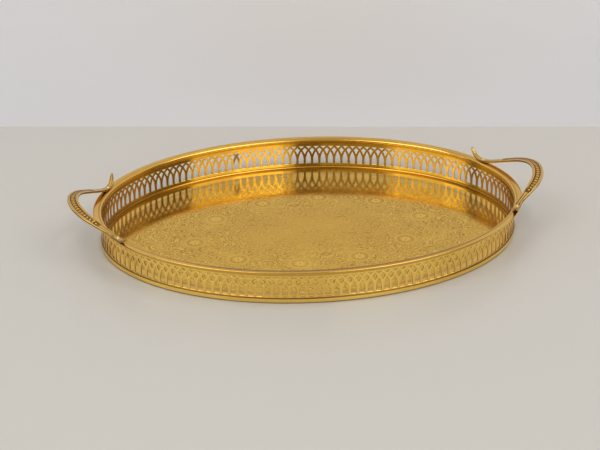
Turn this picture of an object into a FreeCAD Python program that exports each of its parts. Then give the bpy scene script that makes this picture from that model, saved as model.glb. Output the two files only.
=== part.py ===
"""Oval brass gallery tray with two strap handles.

Frame: millimetres, +Z up, origin at the centre of the tray's underside, +X along the
tray's long axis, towards one handle. The tray stands on z = 0.

Separate pieces: the pressed base pan, the pierced gallery strip soldered inside the pan's
upturned lip, the rim moulding that caps the strip, two cast strap handles, and the four
rivets that hold the handles' feet on the rim.

Every oval of the tray is the rim's outer edge brought inwards by an inset, so one half
length and one half width drive them all.
"""
import FreeCAD
import Part

import bisect
import math
import os

SIZES = [
    # the whole tray
    ("rim_half_length", 200.0),       # centre to the rim's outer edge, along X
    ("rim_half_width", 153.0),        # the same along Y
    ("rim_height", 32.0),             # underside of the tray to the top of the rim's edge
    # base pan
    ("floor_thickness", 0.9),
    ("lip_height", 4.8),              # the pan's upturned lip, from the underside
    ("lip_thickness", 0.8),
    ("lip_corner", 0.7),              # the pan's bottom corner, taken off at 45 degrees
    ("solder_gap", 0.1),              # room for solder between strip, pan and rim
    # gallery strip
    ("rim_overhang", 6.7),            # the rim's edge stands out past the strip by this
    ("strip_thickness", 1.0),
    ("toe", 0.9),                     # small moulding along the strip's foot, inside
    ("bay_count", 144),               # arches round the tray
    ("leg_width", 2.3),               # upright between two windows
    ("rib_width", 1.75),              # one arm of an arch
    ("fork_width", 0.9),              # blunt lower end of the diamond over an upright
    ("peak_land", 1.1),               # width where an arch's peak meets the plain band
    ("sill_rise", 1.1),               # bottom of the windows, above the pan's lip
    ("spring_rise", 3.7),             # where the arms leave the upright, above the sill
    ("frieze_band", 1.1),             # plain band over the arches, below the rim
    # rim moulding
    ("rim_leg_height", 2.2),          # rebate that laps the strip's outside
    ("rim_leg_thickness", 0.7),
    ("rim_riser", 1.4),               # upright face between the strip and the bead
    ("rim_bead", 2.0),                # rounded inner corner of the flange
    ("rim_dish", 0.35),               # the flange falls this much towards the tray
    ("rim_thickness", 1.1),           # flat flange, top to underside, at its edge
    ("edge_round", 0.9),              # rounding of the flange's outer edge
    # strap handles
    ("rivet_inset", 3.2),             # rivet's middle, in from the rim's edge
    ("grip_radius", 46.0),            # plan curve of the grip
    ("grip_half_angle", 46.0),        # degrees of that curve each side of the middle
    ("arm_length", 18.0),             # straight arm between the grip and the foot's curve
    ("foot_radius", 45.0),            # plan curve that brings the foot along the rim
    ("foot_heading", 29.0),           # degrees off Y where the foot is riveted
    ("tip_heading", 12.0),            # degrees off Y where the tip ends
    ("tip_length", 6.0),              # straight end of the tip
    ("strap_width", 10.2),
    ("foot_width", 5.3),
    ("tip_width", 2.2),
    ("taper_start", 26.0),            # from the grip's middle to where the strap narrows
    ("taper_length", 36.0),           # it reaches the foot's width over this length
    ("strap_thickness", 2.0),
    ("tip_thickness", 1.2),
    ("grip_rise", 15.3),              # the grip's middle stands this much above the feet
    ("grip_swell", 0.72),              # under 1 keeps the grip full before it drops
    ("tip_rise", 7.0),                # the tip curls up by this
    ("foot_gap", 0.05),               # between the strap's foot and the rim's edge
    ("channel_reach", 46.0),          # sunk band along the grip, to each side of its middle
    ("channel_depth", 0.5),
    ("rail_width", 2.7),              # left standing on each side of the sunk band
    ("groove_width", 0.6),            # two grooves along each arm, after the band
    ("groove_depth", 0.4),
    ("middle_rib", 1.3),              # left standing between the two grooves
    ("groove_end", 3.5),              # plain strap between a groove and each of its ends
    # rivets
    ("rivet_radius", 1.0),
    ("rivet_head_radius", 1.6),
    ("rivet_head_height", 0.6),
    ("rivet_gap", 0.05),              # between the shank and its holes
]

GRIP_STATIONS = 6                     # strap sections on half of the grip's curve
FOOT_STATIONS = 5                     # strap sections on each foot's curve
RIVET_SIDES = 12                      # faces round a rivet and round its holes
ARC_STEPS = 16000                     # steps of the sum that measures the whole oval

# Levels that more than one piece uses, as sheet expressions
RIM_SEAT = "sizes.rim_height - sizes.rim_dish - sizes.rim_bead - sizes.rim_riser"
STRIP_TOP = RIM_SEAT + " - sizes.solder_gap"
RIM_LEG_FOOT = RIM_SEAT + " - sizes.rim_leg_height"
FLANGE_UNDERSIDE = "sizes.rim_height - sizes.rim_thickness"
STRIP_INSIDE = "sizes.rim_overhang + sizes.strip_thickness"
LAP = "sizes.rim_overhang - sizes.solder_gap"       # inside of the lip and the rim's leg

doc = FreeCAD.newDocument("brass_tray")
sizes = doc.addObject("Spreadsheet::Sheet", "sizes")
for row, (alias, number) in enumerate(SIZES, start=1):
    sizes.set("A%d" % row, alias)
    sizes.set("B%d" % row, str(number))
    sizes.setAlias("B%d" % row, alias)
doc.recompute()


def size(name):
    """The value of a sheet name or of an expression on sheet names."""
    return float(sizes.evalExpression(name if "." in name else "sizes." + name))


# ---------------------------------------------------------------- ovals and rings

def oval(name, inset, height):
    """A level oval. Its inset from the rim's edge and its height are sheet expressions."""
    ring = doc.addObject("Part::Ellipse", name)
    ring.setExpression("MajorRadius", "sizes.rim_half_length - (%s)" % inset)
    ring.setExpression("MinorRadius", "sizes.rim_half_width - (%s)" % inset)
    ring.setExpression("Placement.Base.z", height)
    return ring


def oval_solid(name, profile):
    """A solid through level ovals, given from the bottom up as (inset, height)."""
    loft = doc.addObject("Part::Loft", name)
    loft.Sections = [oval("%s_oval_%d" % (name, level), inset, height)
                     for level, (inset, height) in enumerate(profile)]
    loft.Solid = True
    loft.Ruled = True
    return loft


def cut(name, base, tool):
    """Base less tool."""
    result = doc.addObject("Part::Cut", name)
    result.Base = base
    result.Tool = tool
    return result


# ---------------------------------------------------------------- base pan

def make_base_pan():
    """Flat pressed floor with an upturned lip that the gallery strip stands in."""
    lip_outside = LAP + " - sizes.lip_thickness"
    outside = oval_solid("pan_outside", [
        (lip_outside + " + sizes.lip_corner", "0"),
        (lip_outside, "sizes.lip_corner"),
        (lip_outside, "sizes.lip_height"),
    ])
    hollow = oval_solid("pan_hollow", [
        (LAP, "sizes.floor_thickness"),
        (LAP, "sizes.lip_height + sizes.floor_thickness"),
    ])
    return cut("base_pan", outside, hollow)


# ---------------------------------------------------------------- gallery strip

class StripLine:
    """The strip's outside in plan: points and normals by distance from the +X end."""

    def __init__(self):
        self.along = size("rim_half_length") - size("rim_overhang")
        self.across = size("rim_half_width") - size("rim_overhang")
        self.step = 2 * math.pi / ARC_STEPS
        self.lengths = [0.0]
        for index in range(ARC_STEPS):
            turn = (index + 0.5) * self.step
            speed = math.hypot(self.along * math.sin(turn), self.across * math.cos(turn))
            self.lengths.append(self.lengths[-1] + speed * self.step)
        self.pitch = self.lengths[-1] / round(size("bay_count"))

    def at(self, bays):
        """Point and outward normal at a number of bays round from the +X end."""
        distance = bays * self.pitch
        index = bisect.bisect_right(self.lengths, distance, 1, ARC_STEPS) - 1
        span = self.lengths[index + 1] - self.lengths[index]
        turn = (index + (distance - self.lengths[index]) / span) * self.step
        point = FreeCAD.Vector(self.along * math.cos(turn), self.across * math.sin(turn), 0)
        normal = FreeCAD.Vector(math.cos(turn) / self.along, math.sin(turn) / self.across, 0)
        return point, normal.normalize()


def arch_openings(pitch):
    """Outlines of the three openings as (distance, height), each from its own middle.

    Every arch spans two bays, so its arms cross those of its neighbours. An arm is an
    arc, upright where it leaves its leg, that meets the plain band at the arch's peak.
    """
    sill = size("lip_height") + size("sill_rise")
    spring = sill + size("spring_rise")
    frieze = size(RIM_LEG_FOOT) - size("frieze_band")
    half, land, jamb = size("rib_width") / 2, size("peak_land") / 2, size("leg_width") / 2
    start = jamb - half                           # the arm's middle, from the upright's
    run, rise = pitch - land - start, frieze - spring
    radius = (run ** 2 + rise ** 2 - half ** 2) / (2 * (run + half))
    centre = start + radius

    def across(offset, height):
        """Distance from the upright of a side of the arm, offset outwards from its arc."""
        return centre - math.sqrt((radius + offset) ** 2 - (height - spring) ** 2)

    def up(offset, distance):
        """Height of that side of the arm at a distance from the upright."""
        return spring + math.sqrt((radius + offset) ** 2 - (centre - distance) ** 2)

    window_top = up(-half, pitch / 2)
    window_mid = (spring + window_top) / 2
    sides = [(pitch / 2 - jamb, sill), (pitch / 2 - jamb, spring),
             (pitch / 2 - across(-half, window_mid), window_mid)]
    window = sides + [(0, window_top)] + [(-x, z) for x, z in reversed(sides)]

    fork, crossing = size("fork_width") / 2, up(0, pitch / 2)
    peak = up(0, pitch) - half * radius / math.sqrt(radius ** 2 - (centre - pitch) ** 2)
    widest = across(half, crossing)
    diamond = [(fork, up(half, fork)), (widest, crossing), (0, peak),
               (-widest, crossing), (-fork, up(half, fork))]

    triangle = [(0, up(half, pitch / 2)), (pitch / 2 - land, frieze),
                (land - pitch / 2, frieze)]
    return window, diamond, triangle


def prism(point, normal, outline):
    """A cutter through the strip: an outline in the upright plane, pushed along a normal."""
    along = FreeCAD.Vector(-normal.y, normal.x, 0)
    reach = 2 * size("strip_thickness")
    corners = [point + along * distance + FreeCAD.Vector(0, 0, height) - normal * reach
               for distance, height in outline]
    face = Part.Face(Part.makePolygon(corners + corners[:1]))
    return face.extrude(normal * (2 * reach))


def strip_solid(name, line, profile):
    """A solid through level polygons with a corner at each upright, from the bottom up.

    The strip is creased a little at every upright, which keeps it within a tenth of a
    millimetre of the true oval. The profile is (distance inside the strip, height).
    """
    rings = []
    for inside, height in profile:
        corners = []
        for bay in range(round(size("bay_count"))):
            point, normal = line.at(bay)
            corners.append(point - normal * inside + FreeCAD.Vector(0, 0, height))
        rings.append(Part.makePolygon(corners + corners[:1]))
    solid = doc.addObject("Part::Feature", name)
    solid.Shape = Part.makeLoft(rings, True, True)
    return solid


def make_gallery_strip():
    """Pierced strip bent to the oval, with a small moulding along its foot."""
    line = StripLine()
    foot, top = size("floor_thickness"), size(STRIP_TOP)
    inside, toe = size("strip_thickness"), size("toe")
    outside = strip_solid("strip_outside", line, [(0, foot), (0, top)])
    hollow = strip_solid("strip_hollow", line, [
        (inside + toe, foot), (inside + toe, foot + toe), (inside, foot + 2 * toe),
        (inside, top + toe)])
    blank = cut("strip_blank", outside, hollow)

    window, diamond, triangle = arch_openings(line.pitch)
    cutters = []
    for bay in range(round(size("bay_count"))):
        cutters.append(prism(*line.at(bay), diamond))
        cutters.append(prism(*line.at(bay + 0.5), window))
        cutters.append(prism(*line.at(bay + 0.5), triangle))
    openings = doc.addObject("Part::Feature", "strip_openings")
    openings.Shape = Part.makeCompound(cutters)
    return cut("gallery_strip", blank, openings)


# ---------------------------------------------------------------- rim moulding

def make_rim_blank():
    """Moulding that caps the strip: a rebate outside it, a round bead and a flat flange."""
    leg = LAP + " - sizes.rim_leg_thickness"
    outside = oval_solid("rim_outside", [
        (leg, RIM_LEG_FOOT),
        (leg, FLANGE_UNDERSIDE + " - sizes.rim_thickness"),
        (leg + " - sizes.rim_thickness * 0.3", FLANGE_UNDERSIDE + " - sizes.rim_thickness * 0.3"),
        (leg + " - sizes.rim_thickness", FLANGE_UNDERSIDE),
        ("sizes.edge_round", FLANGE_UNDERSIDE + " + sizes.solder_gap * 0.1"),
        ("0", FLANGE_UNDERSIDE + " + sizes.rim_thickness * 0.3"),
        ("0", "sizes.rim_height - sizes.rim_thickness * 0.3"),
        ("sizes.edge_round", "sizes.rim_height"),
    ])
    crest = "sizes.rim_height - sizes.rim_dish"
    hollow = oval_solid("rim_hollow", [
        (LAP, RIM_LEG_FOOT + " - sizes.rim_riser"),
        (LAP, RIM_SEAT),
        (STRIP_INSIDE, RIM_SEAT + " + sizes.solder_gap * 0.1"),
        (STRIP_INSIDE, crest + " - sizes.rim_bead"),
        (STRIP_INSIDE + " - sizes.rim_bead * 0.13", crest + " - sizes.rim_bead * 0.5"),
        (STRIP_INSIDE + " - sizes.rim_bead * 0.5", crest + " - sizes.rim_bead * 0.13"),
        (STRIP_INSIDE + " - sizes.rim_bead", crest),
        ("sizes.edge_round", "sizes.rim_height"),
        ("sizes.edge_round", "sizes.rim_height + sizes.rim_thickness"),
    ])
    return cut("rim_blank", outside, hollow)


# ---------------------------------------------------------------- handles

class StrapLine:
    """The strap's middle line, by distance from the middle of the grip.

    The strap keeps its own plan shape and stands where its rivets meet the rim's flange.
    """

    def __init__(self):
        self.grip = size("grip_radius") * math.radians(size("grip_half_angle"))
        self.arm = self.grip + size("arm_length")
        turned = size("grip_half_angle") - size("foot_heading")
        self.rivet = self.arm + size("foot_radius") * math.radians(turned)
        turned = size("grip_half_angle") - size("tip_heading")
        self.curve = self.arm + size("foot_radius") * math.radians(turned)
        self.end = self.curve + size("tip_length")
        self.foot = self.rivet + size("foot_width") / 2
        self.base = size("rim_height") + size("foot_gap") + size("strap_thickness") / 2
        self.reach = 0.0
        x, y, _ = self.plan(self.rivet)
        along = size("rim_half_length") - size("rivet_inset")
        across = size("rim_half_width") - size("rivet_inset")
        self.reach = along * math.sqrt(1 - (y / across) ** 2) - x

    def plan(self, distance):
        """Plan point and heading, in radians from +Y towards the tray, on the +Y side."""
        heading = min(distance, self.grip) / size("grip_radius")
        x = self.reach - size("grip_radius") * (1 - math.cos(heading))
        y = size("grip_radius") * math.sin(heading)
        straight = max(min(distance, self.arm) - self.grip, 0)
        x -= straight * math.sin(heading)
        y += straight * math.cos(heading)
        curved = max(min(distance, self.curve) - self.arm, 0)
        turned = heading - curved / size("foot_radius")
        x -= size("foot_radius") * (math.cos(turned) - math.cos(heading))
        y += size("foot_radius") * (math.sin(heading) - math.sin(turned))
        last = max(distance - self.curve, 0)
        return x - last * math.sin(turned), y + last * math.cos(turned), turned

    def level(self, distance):
        """Height of the strap's middle: full at the grip, flat at the foot, curled after."""
        if distance < self.rivet:
            fall = 0.5 + 0.5 * math.cos(math.pi * distance / self.rivet)
            return self.base + size("grip_rise") * fall ** size("grip_swell")
        curl = max(distance - self.foot, 0) / (self.end - self.foot)
        return self.base + size("tip_rise") * curl ** 2

    def width(self, distance):
        """Full width: even along the grip, narrower down the arms, pointed at the tip."""
        share = min(max((distance - size("taper_start")) / size("taper_length"), 0), 1)
        narrowing = (size("strap_width") - size("foot_width")) * share * share * (3 - 2 * share)
        past = max(distance - self.foot, 0) / (self.end - self.foot)
        narrowing += (size("foot_width") - size("tip_width")) * past ** 2
        return size("strap_width") - narrowing

    def thickness(self, distance):
        """Even to the foot, thinner towards the tip."""
        share = max(distance - self.foot, 0) / (self.end - self.foot)
        return size("strap_thickness") + (size("tip_thickness") - size("strap_thickness")) * share


def strap_section(line, distance, side, width, low, high, aside=0.0):
    """A rectangle across the strap, square to its line, between two heights over it."""
    x, y, heading = line.plan(distance)
    step = 0.05
    slope = (line.level(distance + step) - line.level(max(distance - step, 0)))
    slope /= step + min(distance, step)
    outward = FreeCAD.Vector(math.cos(heading), side * math.sin(heading), 0)
    forward = FreeCAD.Vector(-math.sin(heading), side * math.cos(heading), slope).normalize()
    upward = outward.cross(forward).multiply(side)
    middle = FreeCAD.Vector(x, side * y, line.level(distance))
    corners = [middle + outward * (aside + across) + upward * height
               for across, height in ((-width / 2, low), (width / 2, low),
                                      (width / 2, high), (-width / 2, high))]
    return Part.makePolygon(corners + corners[:1])


def make_strap():
    """The right-hand strap: a loft through its sections, less its band and grooves."""
    line = StrapLine()
    marks = [line.grip * step / GRIP_STATIONS for step in range(GRIP_STATIONS)]
    marks += [line.grip, size("channel_reach")]
    marks += [line.arm + (line.curve - line.arm) * step / FOOT_STATIONS
              for step in range(FOOT_STATIONS)]
    marks += [line.curve, (line.curve + line.end) / 2, line.end]
    marks.sort()
    whole = [(-1, mark) for mark in reversed(marks[1:])] + [(1, mark) for mark in marks]

    sections = [strap_section(line, mark, side, line.width(mark),
                              -line.thickness(mark) / 2, line.thickness(mark) / 2)
                for side, mark in whole]
    body = doc.addObject("Part::Feature", "strap_body")
    body.Shape = Part.makeLoft(sections, True, True)

    top, proud = size("strap_thickness") / 2, size("channel_depth")
    band = [strap_section(line, mark, side, line.width(mark) - 2 * size("rail_width"),
                          top - size("channel_depth"), top + proud)
            for side, mark in whole if mark <= size("channel_reach")]
    cutters = [Part.makeLoft(band, True, True)]
    first = size("channel_reach") + size("groove_end")
    last = line.rivet - size("groove_end")
    stops = [first] + [mark for mark in marks if first < mark < last] + [last]
    aside = (size("middle_rib") + size("groove_width")) / 2
    for side in (-1, 1):
        for place in (-aside, aside):
            groove = [strap_section(line, mark, side, size("groove_width"),
                                    top - size("groove_depth"), top + proud, place)
                      for mark in stops]
            cutters.append(Part.makeLoft(groove, True, True))
    relief = doc.addObject("Part::Feature", "strap_relief")
    relief.Shape = Part.makeCompound(cutters)
    return line, cut("strap_blank", body, relief)


# ---------------------------------------------------------------- rivets and their holes

def rivet_places(line):
    """Name, X and Y of the four rivets."""
    x, y, _ = line.plan(line.rivet)
    return [("rivet_right_back", x, y), ("rivet_right_front", x, -y),
            ("rivet_left_back", -x, y), ("rivet_left_front", -x, -y)]


def bar(name, radius, height, x, y, z):
    """An upright bar with the rivets' faces. The last but X and Y are sheet expressions."""
    piece = doc.addObject("Part::Prism", name)
    piece.Polygon = RIVET_SIDES
    piece.setExpression("Circumradius", radius)
    piece.setExpression("Height", height)
    piece.Placement.Base = FreeCAD.Vector(x, y, 0)
    piece.setExpression("Placement.Base.z", z)
    return piece


def rivet_head(name, x, y, seat, height):
    """A low head that tapers away from its seat, upwards or downwards."""
    outlines = []
    for level, (radius, lift) in enumerate((("sizes.rivet_head_radius", "0"),
                                            ("sizes.rivet_head_radius * 0.6", height))):
        outline = doc.addObject("Part::RegularPolygon", "%s_outline_%d" % (name, level))
        outline.Polygon = RIVET_SIDES
        outline.setExpression("Circumradius", radius)
        outline.Placement.Base = FreeCAD.Vector(x, y, 0)
        outline.setExpression("Placement.Base.z", "%s + %s" % (seat, lift))
        outlines.append(outline)
    head = doc.addObject("Part::Loft", name)
    head.Sections = outlines
    head.Solid = True
    head.Ruled = True
    return head


def make_rivet(name, x, y):
    """Shank through the strap's foot and the flange, with a low head at each end."""
    above = "sizes.rim_height + sizes.foot_gap + sizes.strap_thickness"
    rivet = doc.addObject("Part::MultiFuse", name)
    rivet.Shapes = [
        bar(name + "_shank", "sizes.rivet_radius",
            "sizes.rim_thickness + sizes.foot_gap + sizes.strap_thickness",
            x, y, FLANGE_UNDERSIDE),
        rivet_head(name + "_top", x, y, above, "sizes.rivet_head_height"),
        rivet_head(name + "_tail", x, y, FLANGE_UNDERSIDE, "-1 * sizes.rivet_head_height"),
    ]
    return rivet


def rivet_holes(name, places):
    """Clearance holes for the named rivets, from under the flange to over the strap."""
    bars = [bar("%s_%d" % (name, index), "sizes.rivet_radius + sizes.rivet_gap",
                "sizes.rim_height", x, y, "sizes.rim_height * 0.5")
            for index, (_, x, y) in enumerate(places)]
    holes = doc.addObject("Part::MultiFuse", name)
    holes.Shapes = bars
    return holes


# ---------------------------------------------------------------- the whole tray

pieces = [make_base_pan(), make_gallery_strip()]
strap_line, strap = make_strap()
places = rivet_places(strap_line)
pieces.append(cut("rim_moulding", make_rim_blank(), rivet_holes("rim_holes", places)))
handle_right = cut("handle_right", strap, rivet_holes("handle_holes", places[:2]))
handle_left = doc.addObject("Part::Mirroring", "handle_left")
handle_left.Source = handle_right
handle_left.Normal = FreeCAD.Vector(1, 0, 0)
pieces += [handle_right, handle_left]
pieces += [make_rivet(name, x, y) for name, x, y in places]

doc.recompute()
for item in doc.Objects:
    if "Invalid" in item.State or "Error" in item.State:
        raise RuntimeError("%s did not build: %s" % (item.Name, item.State))
for piece in pieces:
    piece.Label = piece.Name
    if piece.Shape.isNull() or not piece.Shape.isValid():
        raise RuntimeError("%s has no valid shape" % piece.Label)

os.makedirs("parts", exist_ok=True)
for piece in pieces:
    shape = piece.Shape
    shape.exportStep(os.path.join("parts", piece.Label + ".step"))
    print("%-18s solids %d  faces %4d  volume %9.1f mm3  z %.2f to %.2f" % (
        piece.Label, len(shape.Solids), len(shape.Faces), shape.Volume,
        shape.BoundBox.ZMin, shape.BoundBox.ZMax))
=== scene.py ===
# %% [markdown]
# # An oval gallery tray in gilt brass
# The real tray is a flat pan, a pierced strip soldered inside its lip, a moulding that caps
# the strip, and two cast straps riveted to that moulding. The pieces could be placed by eye,
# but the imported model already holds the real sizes, so each piece takes its place from it.

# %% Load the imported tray
import math

import bmesh
import bpy
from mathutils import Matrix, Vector


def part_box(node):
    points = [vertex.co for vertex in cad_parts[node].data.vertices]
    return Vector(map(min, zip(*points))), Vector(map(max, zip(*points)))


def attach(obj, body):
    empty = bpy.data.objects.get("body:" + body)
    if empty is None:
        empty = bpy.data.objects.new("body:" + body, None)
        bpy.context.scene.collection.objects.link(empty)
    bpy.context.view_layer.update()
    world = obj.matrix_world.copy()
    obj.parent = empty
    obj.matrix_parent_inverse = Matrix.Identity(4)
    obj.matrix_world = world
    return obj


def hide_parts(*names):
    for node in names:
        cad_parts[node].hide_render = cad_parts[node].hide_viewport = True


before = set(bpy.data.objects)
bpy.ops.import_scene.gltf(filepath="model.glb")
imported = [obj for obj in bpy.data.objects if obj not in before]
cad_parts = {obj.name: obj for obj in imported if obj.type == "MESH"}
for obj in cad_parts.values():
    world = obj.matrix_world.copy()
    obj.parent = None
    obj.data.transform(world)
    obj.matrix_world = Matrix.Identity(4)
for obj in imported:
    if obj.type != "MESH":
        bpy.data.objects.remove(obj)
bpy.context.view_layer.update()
bpy.ops.object.select_all(action="DESELECT")

MM = 0.001
rim_long, rim_wide, rim_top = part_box("rim_moulding")[1]
print("tray over the rim, mm:", round(2 * rim_long / MM, 1), "by", round(2 * rim_wide / MM, 1))

# %% [markdown]
# ## Camera
# A short lens close by would swell the near side of the ovals. A long lens from well back
# keeps them calm and lets the near and far sides of the gallery look alike. The camera looks
# at the middle of the tray's underside, and a small shift sets the tray a little low and to
# the right in the frame.

# %% Camera
camera_away, camera_turn, camera_up = 1.5774, math.radians(10.70), math.radians(25.11)
lens, sensor = 101.1, 36
shift_x, shift_y = -0.0161, 0.0080

sight = Vector((math.sin(camera_turn) * math.cos(camera_up),
                math.cos(camera_turn) * math.cos(camera_up), -math.sin(camera_up)))
bpy.ops.object.camera_add(location=-camera_away * sight,
                          rotation=sight.to_track_quat("-Z", "Y").to_euler())
camera = bpy.context.object
camera.data.lens, camera.data.sensor_width = lens, sensor
camera.data.shift_x, camera.data.shift_y = shift_x, shift_y
bpy.context.scene.camera = camera
bpy.context.scene.view_settings.view_transform = "Standard"
print("camera stands at, m:", [round(part, 3) for part in camera.location])

# %% [markdown]
# ## Sums on shader sockets
# A finish is mostly sums on numbers: distances, waves and masks. Math nodes can be wired by
# hand, but long sums are hard to read that way. A small class that wraps a socket lets the
# sums be written as Python, and one method makes every other node.

# %% A number in a shader
class Number:
    """A socket that carries a number, with Python's signs for sums."""

    def __init__(self, paint, socket):
        self.paint, self.socket = paint, socket

    def math(self, operation, *others):
        """A Math node with this number first."""
        return self.paint.number("ShaderNodeMath", {"operation": operation},
                                 dict(enumerate((self,) + others)))

    def __add__(self, other):
        return self.math("ADD", other)

    def __sub__(self, other):
        return self.math("SUBTRACT", other)

    def __rsub__(self, other):
        return (self * -1) + other

    def __mul__(self, other):
        return self.math("MULTIPLY", other)

    def __truediv__(self, other):
        return self.math("DIVIDE", other)

    def __pow__(self, other):
        return self.math("POWER", other)

    __radd__, __rmul__ = __add__, __mul__

    def size(self):
        """The number without its sign."""
        return self.math("ABSOLUTE")

    def wave(self, period):
        """-1 to 1 and back over every period."""
        return (self * (2 * math.pi / period)).math("SINE")

    def line(self, place, width):
        """1 where the number is within half the width of that place, with soft sides."""
        return 1 - (self - place).size().ramp(width * 0.3, width * 0.7)

    def ramp(self, low, high):
        """0 at low and below, 1 at high and above, smooth between."""
        return self.paint.number("ShaderNodeMapRange", {"interpolation_type": "SMOOTHSTEP"},
                                 {"Value": self, "From Min": low, "From Max": high})

# %% The nodes of one finish
class Paint:
    """The nodes of one finish."""

    def __init__(self, owner):
        owner.use_nodes = True
        self.tree = owner.node_tree
        self.tree.nodes.clear()

    def feed(self, socket, value):
        """Links or sets one input."""
        value = value.socket if isinstance(value, Number) else value
        if isinstance(value, bpy.types.NodeSocket):
            self.tree.links.new(value, socket)
        else:
            socket.default_value = value

    def node(self, kind, settings=None, inputs=None):
        """A node of that kind: its settings come first, then its inputs."""
        made = self.tree.nodes.new(kind)
        for name, value in (settings or {}).items():
            setattr(made, name, value)
        for name, value in (inputs or {}).items():
            self.feed(made.inputs[name], value)
        return made

    def number(self, kind, settings=None, inputs=None, output=0):
        """One output of a new node, as a number."""
        return Number(self, self.node(kind, settings, inputs).outputs[output])

    def here(self):
        """Object coordinates, in metres."""
        return self.node("ShaderNodeTexCoord").outputs["Object"]

    def place(self):
        """Object coordinates in millimetres, as X, Y and Z."""
        split = self.node("ShaderNodeSeparateXYZ", {}, {0: self.here()})
        return [Number(self, out) * 1000 for out in split.outputs]

    def mark(self, name):
        """A number that is stored on the mesh."""
        return self.number("ShaderNodeAttribute", {"attribute_name": name}, {}, output=2)

    def noise(self, scale, detail=2.0):
        """Noise in Object coordinates, scale in features per metre."""
        return self.number("ShaderNodeTexNoise", {}, {
            "Vector": self.here(), "Scale": scale, "Detail": detail, "Roughness": 0.5})

    def mix(self, factor, first, second):
        """A colour between two, by a factor from 0 to 1."""
        made = self.node("ShaderNodeMix", {"data_type": "RGBA"})
        factor_in, first_in, second_in = (made.inputs[index] for index in (0, 6, 7))
        self.feed(factor_in, factor)
        for socket, colour in ((first_in, first), (second_in, second)):
            self.feed(socket, (*colour, 1) if isinstance(colour, tuple) else colour)
        return made.outputs[2]

# %% [markdown]
# ## Table, wall and light
# Polished brass shows what stands round it, so the room matters as much as the finish. A
# pale table meets a pale wall close behind the tray, and the floor of the tray mirrors that
# wall. The room in front is dim, which gives the deep amber of the gallery's inside. Soft
# boxes left and right of the camera give it its bright places, and a weaker box beside each
# softens their edge. Reflection cards could do the same, but lamps also light the table.

# %% Painted board
def plain_finish(name, colour, roughness, mottle):
    """A pale painted board with faint, broad mottling."""
    finish = bpy.data.materials.new(name)
    paint = Paint(finish)
    cloud = paint.noise(3.5, 3.0)
    dark = tuple(part * (1 - mottle) for part in colour)
    tone = paint.mix(cloud.ramp(0.3, 0.7), dark, colour)
    board = paint.node("ShaderNodeBsdfPrincipled", {}, {
        "Base Color": tone, "Roughness": roughness, "Specular IOR Level": 0.4})
    output = paint.node("ShaderNodeOutputMaterial", {}, {"Surface": board.outputs[0]})
    return finish, paint, board, output

# %% Table
ahead = Vector((math.sin(camera_turn), math.cos(camera_turn), 0))
table_long, table_deep, table_forward = 14, 13, 2.5

bpy.ops.mesh.primitive_plane_add(size=1, location=ahead * -table_forward)
table = bpy.context.object
table.name = "table"
table.scale = (table_long, table_deep, 1)
table.rotation_euler.z = -camera_turn
table.data.materials.append(plain_finish("table_board", (0.55, 0.52, 0.475), 0.28, 0.03)[0])
print("table, m:", table_long, "by", table_deep)

# %% Wall, clear from behind so that it hides nothing in a view from the back
wall_away, wall_long, wall_high = 0.262, 5, 0.7

bpy.ops.mesh.primitive_plane_add(
    size=1, location=ahead * wall_away + Vector((0, 0, wall_high / 2)))
wall = bpy.context.object
wall.name = "wall"
wall.scale = (wall_long, wall_high, 1)
wall.rotation_euler = (math.radians(90), 0, -camera_turn)
wall_finish, paint, board, output = plain_finish("wall_board", (0.83, 0.81, 0.82), 0.5, 0.02)
behind = paint.node("ShaderNodeNewGeometry").outputs["Backfacing"]
clear = paint.node("ShaderNodeBsdfTransparent")
one_sided = paint.node("ShaderNodeMixShader", {}, {
    0: behind, 1: board.outputs[0], 2: clear.outputs[0]})
paint.feed(output.inputs["Surface"], one_sided.outputs[0])
wall.data.materials.append(wall_finish)
print("wall stands behind the tray's middle, mm:", wall_away / MM)

# %% Soft boxes and windows
LAMP_AWAY = 2.3
DAYLIGHT, WARM_LIGHT = (0.98, 1.17, 1.35), (1.0, 0.965, 0.92)


def soft_box(name, turn, up, width, height, radiance, colour):
    """A square lamp, turn degrees left of the tray's front and up degrees above it."""
    turn, up = math.radians(turn), math.radians(up)
    side = Vector((-math.sin(turn) * math.cos(up), -math.cos(turn) * math.cos(up),
                   math.sin(up)))
    bpy.ops.object.light_add(type="AREA", location=side * LAMP_AWAY,
                             rotation=(-side).to_track_quat("-Z", "Y").to_euler())
    lamp = bpy.context.object
    lamp.name = name
    lamp.data.shape, lamp.data.size, lamp.data.size_y = "RECTANGLE", width, height
    lamp.data.energy = radiance * math.pi * width * height
    lamp.data.color = colour


box_up = 27
boxes = [  # name, degrees round, width, height, radiance
    ("box_middle", 22, 1.25, 1.0, 0.2),
    ("box_left_edge", 40.5, 0.22, 1.0, 0.55),
    ("box_left", 60, 1.35, 1.0, 1.0),
    ("box_far_left", 86, 0.7, 0.8, 1.5),
    ("box_right", -21, 0.75, 1.0, 1.3),
    ("box_right_edge", -9, 0.22, 1.0, 0.7),
    ("box_far_right", -42, 0.9, 1.0, 0.9)]
for name, turn, width, height, radiance in boxes:
    soft_box(name, turn, box_up, width, height, radiance, DAYLIGHT)

windows = [  # name, degrees round, degrees up, width, height, radiance
    ("window_left", 62, 57, 1.5, 1.4, 2.8),
    ("window_right", -58, 57, 1.5, 1.4, 2.8),
    ("window_front", 5, 51, 2.2, 0.5, 1.2)]
for name, turn, up, width, height, radiance in windows:
    soft_box(name, turn, up, width, height, radiance, WARM_LIGHT)
print("soft boxes:", len(boxes), "windows:", len(windows))

# %% The room: dim in front, lighter behind the wall and overhead
front_level, rear_gain, top_level = 0.19, 0.30, 0.3

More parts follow.
